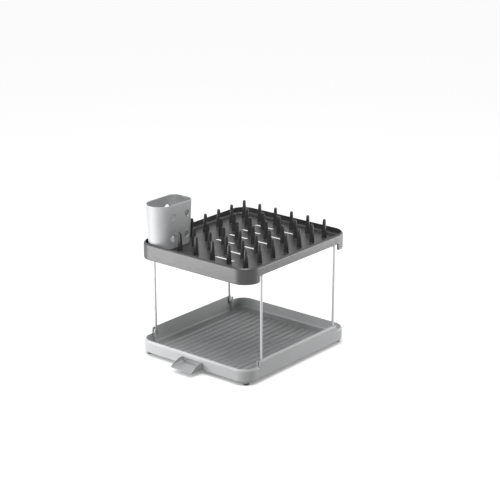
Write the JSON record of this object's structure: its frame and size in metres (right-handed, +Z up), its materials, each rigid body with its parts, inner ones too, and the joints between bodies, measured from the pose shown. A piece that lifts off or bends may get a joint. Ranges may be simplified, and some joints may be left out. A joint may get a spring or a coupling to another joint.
{
  "type": "two-tier dish rack",
  "caption": "Two-tier dish rack: ribbed drain tray with a slide-in spout, folding wire frames, a lift-off pegged plate tray and a pierced cutlery cup.",
  "frame": {"origin": "middle of the rack's footprint, spout included, on the worktop under the feet", "axes": "+Z up, -Y towards the front with the drain spout, +X to the right seen from the front"},
  "size_m": [0.294, 0.369, 0.3275],
  "materials": {
    "pale_plastic": "satin",
    "dark_plastic": "satin",
    "peg_plastic": "satin",
    "cup_plastic": "satin",
    "spout_plastic": "satin",
    "wire_steel": "satin",
    "foot_rubber": "matte"
  },
  "bodies": {
    "base": {"lower_tray": "pale_plastic", "foot_front_left": "foot_rubber", "foot_front_right": "foot_rubber", "foot_rear_left": "foot_rubber", "foot_rear_right": "foot_rubber"},
    "spout": {"drain_spout": "spout_plastic"},
    "left_frame": {"left_frame": "wire_steel"},
    "right_frame": {"right_frame": "wire_steel"},
    "upper": {"upper_tray": "dark_plastic", "peg_row_1": "peg_plastic", "peg_row_2": "peg_plastic", "peg_row_3": "peg_plastic", "peg_row_4": "peg_plastic", "peg_row_5": "peg_plastic", "peg_row_6": "peg_plastic", "peg_row_7": "peg_plastic"},
    "cup": {"cutlery_cup": "cup_plastic"}
  },
  "joints": [
    {"name": "spout_slide", "type": "slide", "parent": "base", "child": "spout", "axis": [0, 1, 0], "range_m": [0, 0.028]},
    {"name": "left_frame_fold", "type": "hinge", "parent": "base", "child": "left_frame", "pos_m": [-0.1426, 0.0165, 0.034], "axis": [0, 1, 0], "range_deg": [0, 90]},
    {"name": "right_frame_fold", "type": "hinge", "parent": "base", "child": "right_frame", "pos_m": [0.1426, 0.0165, 0.034], "axis": [0, -1, 0], "range_deg": [0, 85]},
    {"name": "upper_tray_lift", "type": "slide", "parent": "base", "child": "upper", "axis": [0, 0, 1], "range_m": [0, 0.06]},
    {"name": "cup_lift", "type": "slide", "parent": "upper", "child": "cup", "axis": [0, 0, 1], "range_m": [0, 0.1]}
  ]
}
